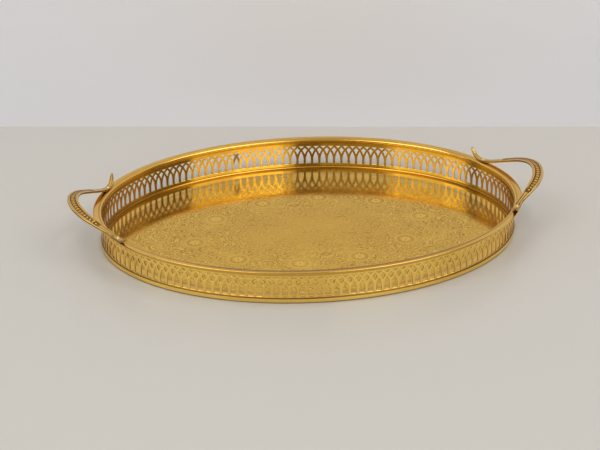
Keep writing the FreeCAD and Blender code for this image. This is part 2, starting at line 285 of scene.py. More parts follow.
world = bpy.context.scene.world or bpy.data.worlds.new("room")
bpy.context.scene.world = world
paint = Paint(world)
look = paint.node("ShaderNodeSeparateXYZ", {}, {
    0: paint.node("ShaderNodeTexCoord").outputs["Generated"]})
east, north, up = (Number(paint, out) for out in look.outputs)
lift = up.ramp(0.7, 1.0)
rear = (north * 0.98 + east * 0.18).ramp(-0.35, 0.6)
level = (front_level + rear * rear_gain) * (1 - lift) + lift * top_level
shade = paint.mix(level, (0.0, 0.0, 0.0), (1.0, 0.97, 0.93))
room = paint.node("ShaderNodeBackground", {}, {"Color": shade, "Strength": 1.0})
paint.node("ShaderNodeOutputWorld", {}, {"Surface": room.outputs[0]})
print("room nodes:", len(paint.tree.nodes))

# %% [markdown]
# ## Gilt brass
# Every piece is polished brass, so one helper holds what they share: the gold itself, a faint
# cloud in its colour, haze from handling, and a darkening towards brown, used for toning and
# for painted shade. Each finish could be built from nothing, but they would drift apart. So
# each starts from the helper and adds its own marks, in colour, roughness and height.

# %% Brass helper
GOLD = (0.92, 0.60, 0.12)
DARK_BROWN = (0.20, 0.085, 0.018)
CLOUD_TINT = (0.9, 0.84, 0.8)


class Brass(Paint):
    """A polished brass finish that is given its marks step by step."""

    def __init__(self, name, colour=GOLD, roughness=0.09):
        self.finish = bpy.data.materials.new(name)
        super().__init__(self.finish)
        cloud = self.noise(22, 3.0)
        self.colour = self.mix(cloud.ramp(0.35, 0.7) * 0.5, colour,
                               tuple(part * tint for part, tint in zip(colour, CLOUD_TINT)))
        self.roughness = self.noise(55, 4.0).ramp(0.45, 0.8) * 0.06 + roughness
        self.height = self.noise(35, 1.0) * 0.06

    def tint(self, mask, colour):
        """Another colour where the mask is 1, with the same polish."""
        self.colour = self.mix(mask, self.colour, colour)

    def tone(self, mask, colour=DARK_BROWN, rough=0.35):
        """Turns the metal towards brown, and duller, where the mask is 1; used for toning and for
        painted shade.
        """
        self.tint(mask, colour)
        self.roughness = self.roughness * (1 - mask) + mask * rough

    def close(self):
        """Joins colour, roughness and height, in millimetres, to the metal."""
        bump = self.node("ShaderNodeBump", {}, {
            "Strength": 1.0, "Distance": MM, "Height": self.height})
        metal = self.node("ShaderNodeBsdfPrincipled", {}, {
            "Base Color": self.colour, "Metallic": 1.0, "Roughness": self.roughness,
            "Normal": bump.outputs[0]})
        self.node("ShaderNodeOutputMaterial", {}, {"Surface": metal.outputs[0]})
        print(self.finish.name, "nodes:", len(self.tree.nodes))
        return self.finish

# %% [markdown]
# ## The etched floor
# The pan's floor is etched: a wreath of ringed rosettes with spiral scrolls between them,
# on a ground of curling leaf lines, with a plain bright margin along the wall. It is a few
# hundredths of a millimetre deep, so cutting it into the mesh would take millions of faces,
# and it is drawn in the finish instead. The pattern is folded into one quarter of the oval,
# as a pattern cutter would set it out.

# %% Helpers for places on the tray
def nearest(x, y, places):
    """X, Y and distance from the nearest of the places, as numbers."""
    best = None
    for place_x, place_y in places:
        here_x, here_y = x - place_x, y - place_y
        away = (here_x * here_x + here_y * here_y) ** 0.5
        if best is None:
            best = [here_x, here_y, away]
        else:
            closer = away.math("LESS_THAN", best[2])
            best = [old + (new - old) * closer for old, new in zip(best, (here_x, here_y, away))]
    return best


def rim_inset(x, y):
    """Millimetres in from the rim's outer edge."""
    long, wide = rim_long / MM, rim_wide / MM
    short_of = 1 - ((x / long) ** 2 + (y / wide) ** 2)
    return short_of / ((x * x) * (2 / long ** 3) + (y * y) * (2 / wide ** 3))

# %% The floor folded into one quarter
PATTERN_TURN = math.radians(5)
FLOOR_LONG, FLOOR_WIDE = 190, 143

floor_brass = Brass("etched_floor", (1.0, 0.655, 0.105), 0.08)
x, y, z = floor_brass.place()
fold_x = (x * math.cos(PATTERN_TURN) + y * math.sin(PATTERN_TURN)).size()
fold_y = (y * math.cos(PATTERN_TURN) - x * math.sin(PATTERN_TURN)).size()
spread = ((x / FLOOR_LONG) ** 2 + (y / FLOOR_WIDE) ** 2) ** 0.5  # 1 near the wall
print("pattern turned, degrees:", round(math.degrees(PATTERN_TURN), 1))

# %% Ringed rosettes
ROSETTES = [(109.5, 0), (79.5, 45), (28, 68)]
PETALS = 8

across, up, from_rosette = nearest(fold_x, fold_y, ROSETTES)
turn = up.math("ARCTAN2", across)
petal = (turn * PETALS).math("SINE") * 1.3 + 4.6
flower = (petal - from_rosette).ramp(-0.4, 0.4) * (1 - from_rosette.line(0, 2.6))
rosette = 1 - flower - from_rosette.line(8.9, 1.5) * 0.8
rosette = rosette * (1 - from_rosette.ramp(9.9, 10.5)) + from_rosette.line(11.2, 0.8)
in_rosette = 1 - from_rosette.ramp(11.6, 12)
print("rosettes in the wreath:", 2 + 4 * (len(ROSETTES) - 1))

# %% Spiral scrolls
SCROLLS = [(97, 25), (55, 61), (0, 74), (62, 22), (138, 22), (108, 62), (62, 93), (18, 104)]
COIL_PITCH = 4.0

across, up, away = nearest(fold_x, fold_y, SCROLLS)
turn = up.math("ARCTAN2", across)
coil = (away / COIL_PITCH - turn / (2 * math.pi)).math("FRACT")
scroll = coil.line(0.5, 0.32) * (1 - away.ramp(8, 10)) * 0.55
in_scroll = 1 - away.ramp(8.5, 10)
print("scroll places in one quarter:", len(SCROLLS))

# %% Curling leaf lines of the ground
drift = floor_brass.noise(30, 1.0)
quarter = floor_brass.node("ShaderNodeCombineXYZ", {}, {0: fold_x, 1: fold_y}).outputs[0]
curl = floor_brass.number("ShaderNodeTexNoise", {}, {
    "Vector": quarter, "Scale": 0.055, "Detail": 1.0, "Roughness": 0.5, "Distortion": 1.8})
vine = (from_rosette / 4.2 + curl * 9).math("FRACT").line(0.5, 0.38) * 1.1
vein = (from_rosette / 9 - curl * 14).math("FRACT").line(0.5, 0.5) * 0.4
ground = (vine + vein).math("MINIMUM", 1.1) * (1 - in_rosette) * (1 - in_scroll * 0.35)
print("nodes so far:", len(floor_brass.tree.nodes))

# %% The whole pattern, quieter towards the middle and worn in patches
rings = spread.line(0.93, 0.012) + spread.line(0.915, 0.006)
zone = 1 - spread.ramp(0.925, 0.935)
quiet = spread.ramp(0.1, 0.5) * 0.55 + 0.45
worn = drift.ramp(0.25, 0.6) * 0.4 + 0.6
etched = (rosette * in_rosette * 0.75 + scroll * (1 - in_rosette) + ground) * zone * quiet
etched = (etched + rings).math("MINIMUM", 1.2) * worn
print("floor pattern nodes:", len(floor_brass.tree.nodes))

# %% Floor finish
floor_brass.tint(0.8 - spread.ramp(0.15, 0.55) * 0.8, (0.87, 0.53, 0.073))
floor_brass.tint(etched, (0.56, 0.305, 0.03))
floor_brass.roughness = floor_brass.roughness + etched * 0.05
floor_brass.height = floor_brass.height * 0.5 - etched * 0.005

scratch = (x * 0.8 + y * 0.6 + drift * 14).wave(31).line(0, 0.012)
scratch = scratch * floor_brass.noise(14, 1.0).ramp(0.55, 0.6)
floor_brass.roughness = floor_brass.roughness + scratch * 0.25
speck = floor_brass.noise(260, 1.0).ramp(0.78, 0.82) * floor_brass.noise(18, 1.0).ramp(0.5, 0.6)
floor_brass.tone(speck * 0.7)

# The margin along the wall. The lip is painted paler, a painted reflection of the lit table.
# Painted shade darkens the corner by the gallery's foot and the seam between lip and gallery,
# and a painted shadow darkens the lip's foot where it stands on the table.
floor_brass.tone(spread.ramp(0.86, 0.95) * 0.35, (0.60, 0.36, 0.12), 0.15)
floor_brass.tint(z.ramp(1.0, 1.5), (1.0, 0.68, 0.17))
floor_brass.tone(spread.line(0.992, 0.012) * 0.6 + (1 - z.ramp(0.5, 0.95)) * 0.9)
floor_brass.tone(rim_inset(x, y).ramp(6.0, 6.25) * z.ramp(4.2, 4.5) * 0.9)
floor_gold = floor_brass.close()

# %% [markdown]
# ## Gallery, moulding, handles and rivets
# The gallery keeps its shine but is darker along its foot and under the moulding, partly toning
# and partly painted shade, painted darker towards both ends inside, and one arch has gone dark.
# The cut edges of its windows carry painted shade, and its outside is painted paler than its
# inside: numbers stored on its faces say which is which, because coordinates alone can't. The
# moulding has a dark line of painted shade in its crease, a painted dark band along its front
# and painted shade under its outer roll. On the cast handles the hollows have toned, and the
# undersides carry painted shade and the crests painted highlights: numbers stored on the mesh
# tell how deep and how far out a spot lies, because the bent strap's own coordinates can't.

# %% Gallery finish
wall_brass = Brass("bright_gallery", GOLD, 0.085)
x, y, z = wall_brass.place()
edge, outside = wall_brass.mark("edge"), wall_brass.mark("outside")
# Darker along the foot, above the bead and under the moulding: partly toning, partly painted
# shade.
corner_toning_and_shade = (1 - z.ramp(0.95, 1.6)) * 0.8 + z.line(2.8, 0.7) * 0.7 + z.ramp(27.0, 28.0) * 0.6
wall_brass.tone(corner_toning_and_shade)
# Random patches of toning, and painted shade darker towards both ends.
wall_brass.tone(wall_brass.noise(9, 2.0).ramp(0.55, 0.75) * 0.18 + x.size().ramp(90, 190) * 0.35)
# Painted shade on the cut edges of the windows.
wall_brass.tone(edge * 0.8)
# Painted light: the outside is painted paler than the inside.
wall_brass.tint(outside * 0.8, (1.0, 0.66, 0.15))
# Painted shade: the inside darker towards the left end.
wall_brass.tone((x * -1).ramp(80, 180) * (1 - outside) * 0.4)
dark_arch = ((x + 48) ** 2 + (y - 140.6) ** 2 + ((z - 17) * 0.45) ** 2) ** 0.5
wall_brass.tone((1 - dark_arch.ramp(2.2, 4.6)) * 0.75)
gallery_gold = wall_brass.close()

# %% Moulding finish
rim_brass = Brass("bright_rim", (0.84, 0.51, 0.10), 0.12)
x, y, z = rim_brass.place()
inset = rim_inset(x, y)
front = (y * -1).ramp(70, 115)
on_top, far_front = z.ramp(31, 31.3), (y * -1).ramp(105, 140)
# Painted shade: a dark line in the crease, strongest along the front.
rim_brass.tone(inset.line(5.1, 1.3) * on_top * (front * 0.73 + 0.25))
# A painted reflection: a broad dark band on the top along the front.
rim_brass.tone(inset.line(3.6, 3.6) * on_top * far_front * 0.5)
# Painted shade under the outer roll, lighter along the front.
rim_brass.tone((1 - z.ramp(30.5, 31.2)) * (1 - inset.ramp(5.8, 6.6)) * (0.8 - front * 0.35))
# Faint painted shade low on the inner side.
rim_brass.tone(inset.ramp(6.0, 6.8) * (1 - z.ramp(30.6, 31.2)) * 0.12)
rim_gold = rim_brass.close()

# %% Handle finish: dark lines, painted highlights on the crests between them, and gaps between the beads
BEAD_PITCH = 3.6

strap_brass = Brass("cast_handle", (1.0, 0.63, 0.15), 0.14)
# The stored darkness holds patina in the hollows and painted shade on the undersides.
patina_and_shade, across = strap_brass.mark("patina_and_shade"), strap_brass.mark("across")
along_strap = strap_brass.mark("along")
gap = (along_strap / BEAD_PITCH).math("FRACT").line(0.5, 0.5) * (1 - across.ramp(2.2, 2.4))
gap = gap * (1 - along_strap.ramp(45, 46))
groove = across.line(1.25, 0.8) * 0.6 * along_strap.ramp(45, 47)
lines = across.line(3.75, 0.75) * 0.8 + across.line(2.4, 0.8) + groove
lines = (lines + patina_and_shade + gap).math("MINIMUM", 1.0) + across.ramp(4.7, 5.0) * 0.2
# Painted highlights: the crests are tinted paler where light would catch them.
crest_highlight = across.line(3.08, 0.8) * 0.7 + across.line(4.35, 0.8) * 0.6
strap_brass.tint(crest_highlight * (1 - patina_and_shade), (1.0, 0.75, 0.30))
strap_brass.tone(lines.math("MINIMUM", 1.0) * 0.92, (0.15, 0.055, 0.01), 0.4)
x, y, z = strap_brass.place()
strap_brass.tone(y.ramp(69, 74) * z.ramp(37, 42) * 0.55, (0.25, 0.17, 0.08), 0.4)
strap_gold = strap_brass.close()

# %% Rivet finish
rivet_gold = Brass("rivet_brass", (0.80, 0.52, 0.16), 0.22).close()

# %% [markdown]
# ## Growing an oval ring
# The pan and the moulding are one section carried round an oval. A spin would give circles,
# and an offset curve is not an oval any more. Growing the section loop by loop keeps every
# level a true oval: each loop is extruded from the last, scaled about the middle and lifted.

# %% Ring helper
ROUND = 320


def oval(inset):
    """Half length and half width of the oval that lies inset millimetres in from the rim."""
    return rim_long - inset * MM, rim_wide - inset * MM


def grow_ring(name, section, closed):
    """A ring with that section, given as (inset, height) in millimetres."""
    (inset, height), *steps = section
    long, wide = oval(inset)
    bpy.ops.mesh.primitive_circle_add(vertices=ROUND, radius=1, location=(0, 0, height * MM))
    ring = bpy.context.object
    ring.name = name
    ring.scale = (long, wide, 1)
    bpy.ops.object.transform_apply(location=True, rotation=True, scale=True)
    bpy.ops.object.mode_set(mode="EDIT")
    bpy.ops.mesh.select_mode(type="VERT")
    bpy.ops.mesh.select_all(action="SELECT")
    for inset, level in steps:
        next_long, next_wide = oval(inset)
        bpy.ops.mesh.extrude_region_move(
            TRANSFORM_OT_translate={"value": (0, 0, (level - height) * MM)})
        bpy.ops.transform.resize(value=(next_long / long, next_wide / wide, 1),
                                 center_override=(0, 0, level * MM))
        height, long, wide = level, next_long, next_wide
    if closed:
        bpy.ops.mesh.select_all(action="DESELECT")
        bpy.ops.mesh.select_mode(type="EDGE")
        bpy.ops.mesh.select_non_manifold()
        bpy.ops.mesh.bridge_edge_loops()
    bpy.ops.mesh.select_all(action="SELECT")
    bpy.ops.mesh.normals_make_consistent(inside=False)
    bpy.ops.object.mode_set(mode="OBJECT")
    return ring

# %% Finishing helper
def finish_piece(piece, finish, slot, *nodes):
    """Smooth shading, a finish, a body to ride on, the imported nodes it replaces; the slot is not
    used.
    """
    bpy.ops.object.select_all(action="DESELECT")
    piece.select_set(True)
    bpy.context.view_layer.objects.active = piece
    bpy.ops.object.shade_smooth_by_angle(angle=math.radians(40))
    piece.data.materials.clear()
    piece.data.materials.append(finish)
    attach(piece, "root")
    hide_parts(*nodes)
    bpy.ops.object.select_all(action="DESELECT")
    print(piece.name, "faces:", len(piece.data.polygons))

# %% Base pan, from its underside round the lip to the floor
SHEET = 0.9

lip_section = [
    (6.70, 0.0), (6.25, 0.08), (5.95, 0.35), (5.82, 0.9), (5.78, 1.8), (5.76, 2.8), (5.80, 3.7),
    (5.92, 4.4), (6.12, 4.75), (6.40, 4.8), (6.58, 4.62), (6.60, 4.3), (6.60, SHEET),
    (9.0, SHEET)]
pan = grow_ring("pan", lip_section, closed=False)
bpy.ops.object.mode_set(mode="EDIT")
bpy.ops.mesh.select_mode(type="EDGE")
for level in (0.0, SHEET):
    bpy.ops.mesh.select_all(action="DESELECT")
    cage = bmesh.from_edit_mesh(pan.data)
    for edge in cage.edges:
        if edge.is_boundary and abs(edge.verts[0].co.z - level * MM) < 0.01 * MM:
            edge.select_set(True)
    bpy.ops.mesh.edge_face_add()
bpy.ops.mesh.select_all(action="SELECT")
bpy.ops.mesh.normals_make_consistent(inside=False)
bpy.ops.object.mode_set(mode="OBJECT")
finish_piece(pan, floor_gold, "gilt_floor", "base_pan")

# %% Rim moulding, with its flange, its outer roll, the crease and the bead at its inner edge
rim_section = [
    (6.60, 26.05), (6.10, 26.05), (5.95, 26.2), (5.90, 26.5), (5.90, 29.7), (5.72, 30.35),
    (5.30, 30.75), (4.70, 30.9), (0.95, 30.93), (0.45, 31.02), (0.12, 31.25), (0.0, 31.5),
    (0.08, 31.76), (0.35, 31.94), (0.8, 32.0), (1.6, 31.96), (4.9, 31.72), (5.05, 31.55),
    (5.2, 31.52), (5.35, 31.66), (5.9, 31.72), (6.6, 31.55), (7.2, 31.15), (7.6, 30.6),
    (7.78, 30.0), (7.74, 29.45), (7.5, 29.0), (7.3, 28.85), (7.45, 28.7), (7.7, 28.6),
    (7.7, 28.26), (6.60, 28.25)]
rim = grow_ring("rim", rim_section, closed=True)
finish_piece(rim, rim_gold, "gilt_rim", "rim_moulding")

# %% [markdown]
# ## The pierced gallery
# The real gallery is a strip that is stamped with crossing arches while it is flat, bent to
# an oval and soldered. Piercing the bent strip window by window would take hundreds of cuts.
# Here one bay is pierced flat, as the stamp does it, repeated in a row and bent to the oval
# with a Curve modifier, so every arch has the same width and the same clean edges.

# %% Gallery sizes
strip_inset, strip_thick = 6.7, 1.0
strip_foot, strip_top = SHEET, 28.15
bays = 144

long, wide = oval(strip_inset)
bpy.ops.curve.primitive_bezier_circle_add(radius=1, location=(0, 0, 0))
strip_line = bpy.context.object
strip_line.name = "strip_line"
strip_line.scale = (long, wide, 1)
bpy.ops.object.transform_apply(location=True, rotation=True, scale=True)
strip_line.data.dimensions, strip_line.data.use_radius = "2D", False
strip_line.data.resolution_u = 120
pitch = strip_line.data.splines[0].calc_length(resolution=120) / bays / MM
print("one bay, mm:", round(pitch, 3))

# %% Outlines of the three holes in one bay
leg, rib, fork, land = 2.3, 2.05, 0.9, 1.1
sill, spring, frieze = 5.9, 9.6, 24.95


def arch_outlines():
    """Window, diamond and triangle as lists of (along, height) from their own middle."""
    half, jamb = rib / 2, leg / 2
    start = jamb - half
    run, rise = pitch - land / 2 - start, frieze - spring
    radius = (run ** 2 + rise ** 2 - half ** 2) / (2 * (run + half))
    centre = start + radius

    def across(offset, height):
        """Where the arm's side is at that height, offset from its middle line."""
        return centre - math.sqrt((radius + offset) ** 2 - (height - spring) ** 2)

    def up(offset, along):
        """How high the arm's side is there, offset from its middle line."""
        return spring + math.sqrt((radius + offset) ** 2 - (centre - along) ** 2)

    def share(low, high, steps):
        return [low + (high - low) * step / steps for step in range(steps + 1)]

    top = up(-half, pitch / 2)
    side = [(pitch / 2 - jamb, sill)]
    side += [(pitch / 2 - across(-half, height), height) for height in share(spring, top, 5)]
    window = side + [(-x, z) for x, z in reversed(side[:-1])]

    crossing = up(0, pitch / 2)
    peak = up(0, pitch) - half * radius / math.sqrt(radius ** 2 - (centre - pitch) ** 2)
    low = [(across(half, height), height) for height in share(up(half, fork / 2), crossing, 3)]
    middle = max(x for x, z in low)
    high = [(middle * (1 - step), crossing + (peak - crossing) * step ** 1.15)
            for step in share(0, 1, 3)[1:-1]]
    right = low + high
    diamond = right + [(0, peak)] + [(-x, z) for x, z in reversed(right)]

    slope = [(pitch / 2 - along, up(half, along)) for along in share(pitch / 2, pitch - land, 3)]
    slope = [(abs(x), min(z, frieze)) for x, z in slope]
    triangle = slope + [(-x, z) for x, z in reversed(slope[1:])]
    return window, diamond, triangle


window, diamond, triangle = arch_outlines()
print("corners of window, diamond, triangle:", len(window), len(diamond), len(triangle))

# %% Punches drawn from the outlines
PUNCH_DEEP = 3


def draw_outline(name, outline, shift):
    """A punch: the outline drawn corner by corner in the XZ plane, then made deep."""
    (x, z), *others = outline
    bpy.ops.mesh.primitive_plane_add(size=MM, location=((x + shift) * MM, MM, z * MM))
    piece = bpy.context.object
    piece.name = name
    bpy.ops.object.transform_apply(location=True, rotation=True, scale=True)
    bpy.ops.object.mode_set(mode="EDIT")
    bpy.ops.mesh.select_mode(type="VERT")
    bpy.ops.mesh.select_all(action="SELECT")
    bpy.ops.mesh.merge(type="CENTER")
    for next_x, next_z in others:
        bpy.ops.mesh.extrude_region_move(
            TRANSFORM_OT_translate={"value": ((next_x - x) * MM, 0, (next_z - z) * MM)})
        x, z = next_x, next_z
    bpy.ops.mesh.select_all(action="SELECT")
    bpy.ops.mesh.edge_face_add()
    bpy.ops.mesh.extrude_region_move(TRANSFORM_OT_translate={"value": (0, -PUNCH_DEEP * MM, 0)})
    bpy.ops.mesh.select_all(action="SELECT")
    bpy.ops.mesh.normals_make_consistent(inside=False)
    bpy.ops.object.mode_set(mode="OBJECT")
    return piece


punches = [draw_outline("punch_window", window, 0), draw_outline("punch_triangle", triangle, 0),
           draw_outline("punch_diamond", diamond, -pitch / 2),
           draw_outline("punch_diamond", diamond, pitch / 2)]
bpy.ops.object.select_all(action="DESELECT")
for punch in punches:
    punch.select_set(True)
bpy.context.view_layer.objects.active = punches[0]
bpy.ops.object.join()
punch = punches[0]
print("punch, faces:", len(punch.data.polygons))

# %% One bay, with a few upright cuts so that it can bend
bpy.ops.object.select_all(action="DESELECT")
bpy.ops.mesh.primitive_cube_add(
    size=1, location=(0, -strip_thick / 2 * MM, (strip_foot + strip_top) / 2 * MM),
    scale=(pitch * MM, strip_thick * MM, (strip_top - strip_foot) * MM))
gallery = bpy.context.object
gallery.name = "gallery"
bpy.ops.object.transform_apply(location=True, rotation=True, scale=True)
bpy.ops.object.mode_set(mode="EDIT")
for place in (-0.25, 0, 0.25):
    bpy.ops.mesh.select_all(action="SELECT")
    bpy.ops.mesh.bisect(plane_co=(place * pitch * MM, 0, 0), plane_no=(1, 0, 0))
bpy.ops.object.mode_set(mode="OBJECT")
pierce = gallery.modifiers.new("pierce", "BOOLEAN")
pierce.operation, pierce.object, pierce.solver = "DIFFERENCE", punch, "EXACT"
bpy.ops.object.modifier_apply(modifier="pierce")
bpy.data.objects.remove(punch)
print("one bay, faces:", len(gallery.data.polygons))

# %% Open ends, where the bays meet, and softened edges
bpy.ops.object.mode_set(mode="EDIT")
bpy.ops.mesh.select_mode(type="FACE")
bpy.ops.mesh.select_all(action="DESELECT")
cage = bmesh.from_edit_mesh(gallery.data)
for face in cage.faces:
    if abs(face.normal.x) > 0.99 and abs(face.calc_center_median().x) > 0.49 * pitch * MM:
        face.select_set(True)
bpy.ops.mesh.delete(type="FACE")
bpy.ops.object.mode_set(mode="OBJECT")


def soften(piece, width, segments, angle):
    """Bevels the edges that are sharper than that angle."""
    bevel = piece.modifiers.new("soften", "BEVEL")
    bevel.width, bevel.segments, bevel.limit_method = width * MM, segments, "ANGLE"
    bevel.angle_limit, bevel.use_clamp_overlap = math.radians(angle), True
    bpy.ops.object.modifier_apply(modifier="soften")


soften(gallery, 0.14, 1, 60)
print("one bay with soft edges, faces:", len(gallery.data.polygons))

# %% A row of bays, bent to the oval
def repeat(piece, count, step):
    """Repeats a piece along X."""
    row = piece.modifiers.new("row", "ARRAY")
    row.count, row.use_relative_offset, row.use_constant_offset = count, False, True
    row.constant_offset_displace = (step * MM, 0, 0)
    return row


def bend_along(piece, line):
    """Bends a straight piece along a curve."""
    bend = piece.modifiers.new("bend", "CURVE")
    bend.object, bend.deform_axis = line, "POS_X"
    bpy.ops.object.modifier_apply(modifier="bend")
    bpy.data.objects.remove(line)


row = repeat(gallery, bays, pitch)
row.use_merge_vertices, row.merge_threshold = True, 0.01 * MM
bpy.ops.object.modifier_apply(modifier="row")
gallery.location.x = pitch / 2 * MM
bpy.ops.object.transform_apply(location=True, rotation=False, scale=False)
bend_along(gallery, strip_line)
bpy.ops.object.mode_set(mode="EDIT")
bpy.ops.mesh.select_all(action="SELECT")
bpy.ops.mesh.remove_doubles(threshold=0.02 * MM)
bpy.ops.object.mode_set(mode="OBJECT")

# %% Half-round bead along the gallery's foot, inside
bead_turns = [math.radians(turn) for turn in (0, 22, 45, 67, 90, 113, 135, 158, 180)]
half_round = [(7.68 + 0.9 * math.sin(turn), 1.82 - 0.86 * math.cos(turn)) for turn in bead_turns]
foot_bead = grow_ring("foot_bead", [(7.5, 0.96), *half_round, (7.5, 2.68)], closed=True)
bpy.ops.object.select_all(action="DESELECT")
foot_bead.select_set(True)
gallery.select_set(True)
bpy.context.view_layer.objects.active = gallery
bpy.ops.object.join()
print("gallery with its bead, faces:", len(gallery.data.polygons))

# %% Numbers on the faces: cut edges, and the outside
def new_marks(piece, domain, *names):
    """New stored numbers on a mesh, as one list of values for each name."""
    for name in names:
        piece.data.attributes.new(name, "FLOAT", domain)
    return [piece.data.attributes[name].data for name in names]


clear_of_pan = 4 * MM
edge_shade_marks, outside_marks = new_marks(gallery, "FACE", "edge", "outside")
for face, edge_shade_mark, outside_mark in zip(gallery.data.polygons, edge_shade_marks, outside_marks):
    outward = Vector((face.center.x / rim_long ** 2, face.center.y / rim_wide ** 2, 0))
    facing = face.normal.dot(outward.normalized())
    edge_shade_mark.value = 1 - min(abs(facing) * 1.5, 1) if face.center.z > clear_of_pan else 0
    outside_mark.value = 1 if facing > 0.4 else 0
finish_piece(gallery, gallery_gold, "gilt_gallery", "gallery_strip")

# %% [markdown]
# ## The handles' line
# A strap handle is cast flat, then bent. The same is done here: the strap is modelled straight
# along X, with its sunk band and grooves, and a Curve modifier bends it along the line. The
# line swings round the hand, runs in to the rim, and turns along it to the curled leaf.

# %% Line of the right handle
STRAP_WIDE, STRAP_THICK = 10.2, 2
grip_radius, foot_radius = 46.0, 45.0
grip_lift, tip_curl, foot_gap = 15.3, 7.0, 0.05

# Distances in plan from the middle of the grip.
grip = grip_radius * math.radians(46)
arm = grip + 18.0
rivet = arm + foot_radius * math.radians(17)
foot = rivet + 2.65
curve_end = arm + foot_radius * math.radians(34)
tip = curve_end + 6.0

grip_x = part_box("handle_right")[1][0] / MM - STRAP_WIDE / 2
foot_z = rim_top / MM + (STRAP_THICK / 2 + foot_gap)


def strap_place(distance):
    """Point on the strap's middle line, this far in plan from the middle of the grip."""
    away, side = abs(distance), math.copysign(1, distance)
    turn = min(away, grip) / grip_radius
    x, y = grip_x - grip_radius * (1 - math.cos(turn)), grip_radius * math.sin(turn)
    straight = max(min(away, arm) - grip, 0)
    x, y = x - straight * math.sin(turn), y + straight * math.cos(turn)
    back = turn - max(min(away, curve_end) - arm, 0) / foot_radius
    x -= foot_radius * (math.cos(back) - math.cos(turn))
    y += foot_radius * (math.sin(turn) - math.sin(back))
    last = max(away - curve_end, 0)
    x, y = x - last * math.sin(back), y + last * math.cos(back)
    lift = grip_lift * (0.5 + 0.5 * math.cos(math.pi * min(away / rivet, 1))) ** 0.72
    curl = tip_curl * (max(away - foot, 0) / (tip - foot)) ** 2
    return Vector((x, side * y, foot_z + lift + curl))


steps = 90
places = [strap_place(tip * step / steps) for step in range(-steps, steps + 1)]
print("handle from tip to tip, mm:", round((places[-1] - places[0]).length, 1))

# %% Distances along the line itself
runs = [0.0]
for last, place in zip(places, places[1:]):
    runs.append(runs[-1] + (place - last).length)


def along(distance):
    """How far that is along the line itself, from its front end."""
    step = (distance / tip + 1) * steps
    low = min(int(step), 2 * steps - 1)
    return runs[low] + (runs[low + 1] - runs[low]) * (step - low)


strap_long, middle = runs[-1], runs[-1] / 2
print("strap, mm along its line:", round(strap_long, 1))

# %% The line as a curve
bpy.ops.object.select_all(action="DESELECT")
bpy.ops.mesh.primitive_plane_add(size=MM, location=places[0] * MM)
strap_line = bpy.context.object
strap_line.name = "strap_line"
bpy.ops.object.transform_apply(location=True, rotation=True, scale=True)
bpy.ops.object.mode_set(mode="EDIT")
bpy.ops.mesh.select_mode(type="VERT")
bpy.ops.mesh.select_all(action="SELECT")
bpy.ops.mesh.merge(type="CENTER")
for last, place in zip(places, places[1:]):
    bpy.ops.mesh.extrude_region_move(TRANSFORM_OT_translate={"value": (place - last) * MM})
bpy.ops.object.mode_set(mode="OBJECT")
bpy.ops.object.convert(target="CURVE")
strap_line = bpy.context.object
strap_line.data.twist_mode, strap_line.data.use_radius = "Z_UP", False
print("points on the strap's line:", len(places))

# %% [markdown]
# ## The cast strap
# The strap is widest at the grip, narrows down both arms and ends in a pointed leaf with a
# ridge. Its top has a sunk band with a row of beads round the grip and two grooves down each
# arm. It could be lofted section by section, but a bar that is cut where something changes
# and then scaled at each cut gives the same form with a clean, even mesh.

# %% Picking helpers
def pick(piece, test):
    """Selects the vertices that pass the test, as faces and edges too."""
    bpy.ops.mesh.select_mode(type="VERT")
    bpy.ops.mesh.select_all(action="DESELECT")
    cage = bmesh.from_edit_mesh(piece.data)
    for vertex in cage.verts:
        if test(vertex.co / MM):
            vertex.select_set(True)
    cage.select_flush_mode()


def pick_faces(piece, test):
    """Selects the faces whose middle and normal pass the test."""
    bpy.ops.mesh.select_mode(type="FACE")
    bpy.ops.mesh.select_all(action="DESELECT")
    cage = bmesh.from_edit_mesh(piece.data)
    for face in cage.faces:
        if test(face.calc_center_median() / MM, face.normal):
            face.select_set(True)

# %% Straight bar with rounded long edges
bpy.ops.object.select_all(action="DESELECT")
bpy.ops.mesh.primitive_cube_add(size=1, location=(middle * MM, 0, 0),
                                scale=(strap_long * MM, STRAP_WIDE * MM, STRAP_THICK * MM))
strap = bpy.context.object
strap.name = "strap_right"
bpy.ops.object.transform_apply(location=True, rotation=True, scale=True)
bpy.ops.object.mode_set(mode="EDIT")
bpy.ops.mesh.select_mode(type="EDGE")
bpy.ops.mesh.select_all(action="DESELECT")
cage = bmesh.from_edit_mesh(strap.data)
for edge in cage.edges:
    if abs(edge.verts[0].co.x - edge.verts[1].co.x) > MM:
        edge.select_set(True)
bpy.ops.mesh.bevel(offset=0.7 * MM, segments=3, affect="EDGES")
print("bar, faces:", len(bmesh.from_edit_mesh(strap.data).faces))

# %% Cuts across the strap at each station, and along its lines
band_end, band_closing = 46, 44.6
groove_start, groove_end = 49.5, rivet - 3.5

half = [grip * step / 10 for step in range(11)] + [40, 43, band_closing, band_end]
half += [groove_start, arm, arm + 3.3, arm + 6.6, groove_end, rivet, foot]
half += [foot + (tip - foot) * share for share in (0.15, 0.3, 0.45, 0.6, 0.72, 0.83, 0.92, 0.97)]
stations = [-mark for mark in reversed(half[1:])] + half
for mark in stations:
    bpy.ops.mesh.select_all(action="SELECT")
    bpy.ops.mesh.bisect(plane_co=(along(mark) * MM, 0, 0), plane_no=(1, 0, 0))
for line in (-3.75, -2.4, -1.25, 0, 1.25, 2.4, 3.75):
    bpy.ops.mesh.select_all(action="SELECT")
    bpy.ops.mesh.bisect(plane_co=(0, line * MM, 0), plane_no=(0, 1, 0))
print("straight strap, faces:", len(bmesh.from_edit_mesh(strap.data).faces))

# %% Width and thickness at each station
BAND_HALF, BORDER = 2.4, 2.7


def strap_width(mark):
    """Even along the grip, narrower down the arms, pointed at the tip."""
    share = min(max((abs(mark) - 26) / 36, 0), 1)
    past = max(abs(mark) - foot, 0) / (tip - foot)
    return STRAP_WIDE - 4.9 * share * share * (3 - 2 * share) - 3.1 * past ** 2


